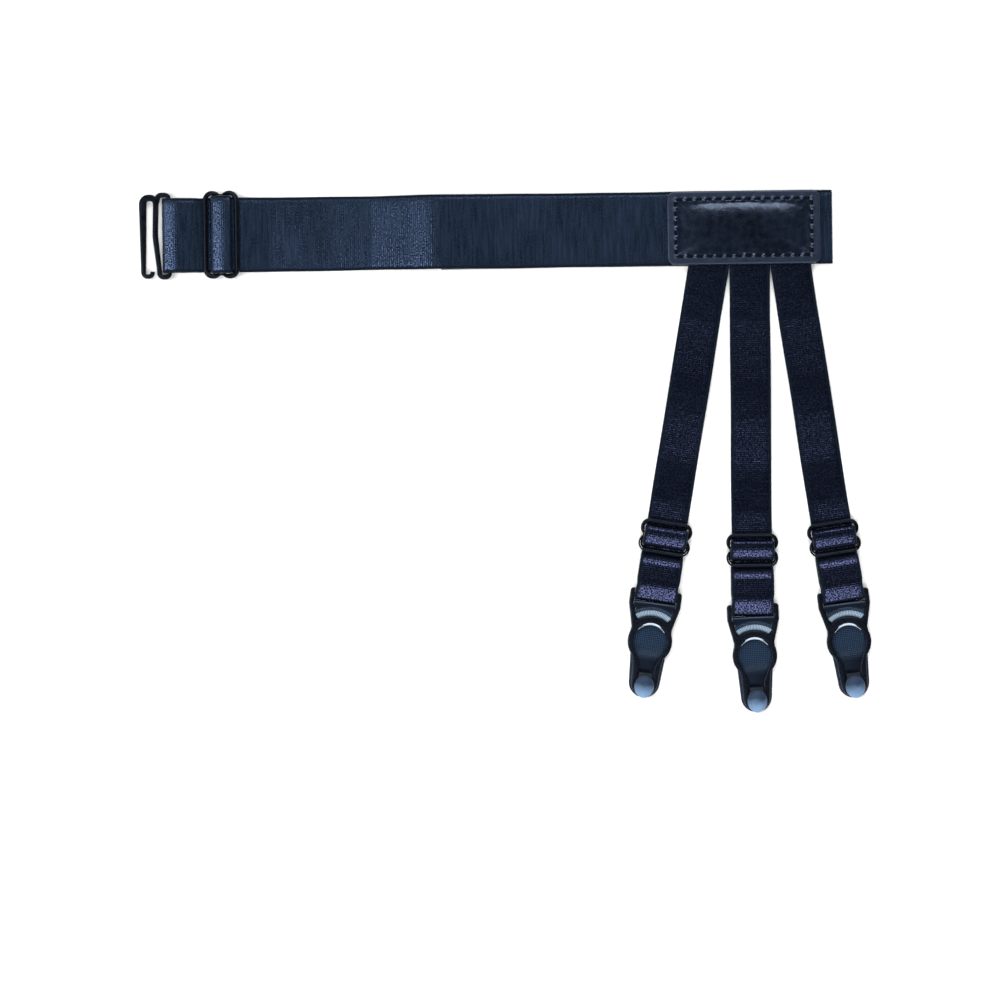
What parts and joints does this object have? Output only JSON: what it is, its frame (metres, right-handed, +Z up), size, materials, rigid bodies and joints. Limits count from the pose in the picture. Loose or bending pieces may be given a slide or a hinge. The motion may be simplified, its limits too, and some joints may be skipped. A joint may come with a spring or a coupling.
{
  "type": "shirt stay",
  "caption": "Elastic thigh band with a hook and a slider, a padded leather patch, and adjustable elastic straps that end in garter clips for a shirt's hem, laid flat and unhooked.",
  "frame": {"origin": "on the surface that the stay lies on, below the middle of its bounding box", "axes": "+X along the band away from its hook, +Y from the clips to the band, +Z up from the surface"},
  "size_m": [0.368, 0.268, 0.0082],
  "materials": {
    "webbing": "ribbed satin elastic webbing, near-black navy",
    "patch_leather": "smooth coated leather with a soft gloss, near-black navy",
    "coated_wire": "smooth black coating",
    "clip_plastic": "moulded black plastic",
    "tongue_plastic": "moulded plastic with a fine grid",
    "button_plastic": "moulded blue-grey plastic"
  },
  "bodies": {
    "root": {"thigh_band": "webbing", "band_hook": "coated_wire", "band_slider": "coated_wire", "patch": "patch_leather", "strap_left": "webbing", "strap_middle": "webbing", "strap_right": "webbing", "slider_left": "coated_wire", "slider_middle": "coated_wire", "slider_right": "coated_wire", "clip_frame_left": "clip_plastic", "clip_frame_middle": "clip_plastic", "clip_frame_right": "clip_plastic", "clip_tongue_left": "tongue_plastic", "clip_tongue_middle": "tongue_plastic", "clip_tongue_right": "tongue_plastic", "clip_button_left": "button_plastic", "clip_button_middle": "button_plastic", "clip_button_right": "button_plastic"}
  },
  "joints": []
}
